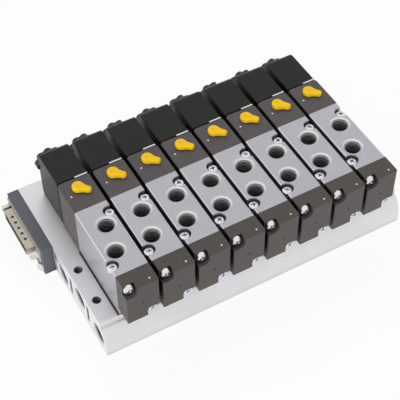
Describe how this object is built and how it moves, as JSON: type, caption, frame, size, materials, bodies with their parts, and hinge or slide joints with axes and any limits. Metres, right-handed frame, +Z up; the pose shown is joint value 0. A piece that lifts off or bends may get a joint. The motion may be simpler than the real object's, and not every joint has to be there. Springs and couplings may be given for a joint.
{
  "type": "pneumatic valve island",
  "caption": "Row of solenoid valves on an extruded air manifold, with round work ports on top, end ports, turning manual overrides and one multi-pole electrical connector.",
  "frame": {"origin": "on the underside of the base, midway along it and under the valve bodies' centre line", "axes": "+X along the base away from the connector end, +Y from the end caps to the coils, +Z up"},
  "size_m": [0.2459, 0.1414, 0.0693],
  "materials": {
    "manifold_base": "satin anodised extrusion",
    "valve_body": "satin anodised",
    "end_cap": "moulded dark warm grey",
    "pilot_head": "moulded dark grey",
    "coil": "moulded near black",
    "coil_nut": "moulded black",
    "override_lever": "moulded yellow",
    "spool": "ground",
    "gasket": "moulded black rubber",
    "plated_steel": "zinc plated",
    "zinc_screw": "bright zinc plated",
    "connector_housing": "moulded blue grey",
    "dsub_shell": "tin plated",
    "dsub_insert": "moulded black",
    "wiring_board": "green laminate",
    "end_cover": "moulded blue grey"
  },
  "bodies": {
    "island": {"manifold_base": "manifold_base", "connector_housing": "connector_housing", "dsub_shell": "dsub_shell", "dsub_insert": "dsub_insert", "wiring_board": "wiring_board", "end_cover": "end_cover", "jack_screws": "plated_steel", "station_gaskets": "gasket", "yoke_plates": "plated_steel", "coil_nuts": "coil_nut", "valve_screws": "zinc_screw", "cover_screws": "zinc_screw", "valve_body_1": "valve_body", "valve_body_2": "valve_body", "valve_body_3": "valve_body", "valve_body_4": "valve_body", "valve_body_5": "valve_body", "valve_body_6": "valve_body", "valve_body_7": "valve_body", "valve_body_8": "valve_body", "end_cap_1": "end_cap", "end_cap_2": "end_cap", "end_cap_3": "end_cap", "end_cap_4": "end_cap", "end_cap_5": "end_cap", "end_cap_6": "end_cap", "end_cap_7": "end_cap", "end_cap_8": "end_cap", "pilot_head_1": "pilot_head", "pilot_head_2": "pilot_head", "pilot_head_3": "pilot_head", "pilot_head_4": "pilot_head", "pilot_head_5": "pilot_head", "pilot_head_6": "pilot_head", "pilot_head_7": "pilot_head", "pilot_head_8": "pilot_head", "coil_1": "coil", "coil_2": "coil", "coil_3": "coil", "coil_4": "coil", "coil_5": "coil", "coil_6": "coil", "coil_7": "coil", "coil_8": "coil"},
    "spool_body_1": {"spool_1": "spool"},
    "lever_body_1": {"override_lever_1": "override_lever"},
    "spool_body_2": {"spool_2": "spool"},
    "lever_body_2": {"override_lever_2": "override_lever"},
    "spool_body_3": {"spool_3": "spool"},
    "lever_body_3": {"override_lever_3": "override_lever"},
    "spool_body_4": {"spool_4": "spool"},
    "lever_body_4": {"override_lever_4": "override_lever"},
    "spool_body_5": {"spool_5": "spool"},
    "lever_body_5": {"override_lever_5": "override_lever"},
    "spool_body_6": {"spool_6": "spool"},
    "lever_body_6": {"override_lever_6": "override_lever"},
    "spool_body_7": {"spool_7": "spool"},
    "lever_body_7": {"override_lever_7": "override_lever"},
    "spool_body_8": {"spool_8": "spool"},
    "lever_body_8": {"override_lever_8": "override_lever"}
  },
  "joints": [
    {"name": "spool_slide_1", "type": "slide", "parent": "island", "child": "spool_body_1", "axis": [0, -1, 0], "range_m": [0, 0.004]},
    {"name": "override_turn_1", "type": "hinge", "parent": "island", "child": "lever_body_1", "pos_m": [-0.0879, 0.046, 0.06575], "axis": [0, 0, -1], "range_deg": [0, 90]},
    {"name": "spool_slide_2", "type": "slide", "parent": "island", "child": "spool_body_2", "axis": [0, -1, 0], "range_m": [0, 0.004]},
    {"name": "override_turn_2", "type": "hinge", "parent": "island", "child": "lever_body_2", "pos_m": [-0.0629, 0.046, 0.06575], "axis": [0, 0, -1], "range_deg": [0, 90]},
    {"name": "spool_slide_3", "type": "slide", "parent": "island", "child": "spool_body_3", "axis": [0, -1, 0], "range_m": [0, 0.004]},
    {"name": "override_turn_3", "type": "hinge", "parent": "island", "child": "lever_body_3", "pos_m": [-0.0379, 0.046, 0.06575], "axis": [0, 0, -1], "range_deg": [0, 90]},
    {"name": "spool_slide_4", "type": "slide", "parent": "island", "child": "spool_body_4", "axis": [0, -1, 0], "range_m": [0, 0.004]},
    {"name": "override_turn_4", "type": "hinge", "parent": "island", "child": "lever_body_4", "pos_m": [-0.0129, 0.046, 0.06575], "axis": [0, 0, -1], "range_deg": [0, 90]},
    {"name": "spool_slide_5", "type": "slide", "parent": "island", "child": "spool_body_5", "axis": [0, -1, 0], "range_m": [0, 0.004]},
    {"name": "override_turn_5", "type": "hinge", "parent": "island", "child": "lever_body_5", "pos_m": [0.0121, 0.046, 0.06575], "axis": [0, 0, -1], "range_deg": [0, 90]},
    {"name": "spool_slide_6", "type": "slide", "parent": "island", "child": "spool_body_6", "axis": [0, -1, 0], "range_m": [0, 0.004]},
    {"name": "override_turn_6", "type": "hinge", "parent": "island", "child": "lever_body_6", "pos_m": [0.0371, 0.046, 0.06575], "axis": [0, 0, -1], "range_deg": [0, 90]},
    {"name": "spool_slide_7", "type": "slide", "parent": "island", "child": "spool_body_7", "axis": [0, -1, 0], "range_m": [0, 0.004]},
    {"name": "override_turn_7", "type": "hinge", "parent": "island", "child": "lever_body_7", "pos_m": [0.0621, 0.046, 0.06575], "axis": [0, 0, -1], "range_deg": [0, 90]},
    {"name": "spool_slide_8", "type": "slide", "parent": "island", "child": "spool_body_8", "axis": [0, -1, 0], "range_m": [0, 0.004]},
    {"name": "override_turn_8", "type": "hinge", "parent": "island", "child": "lever_body_8", "pos_m": [0.0871, 0.046, 0.06575], "axis": [0, 0, -1], "range_deg": [0, 90]}
  ]
}
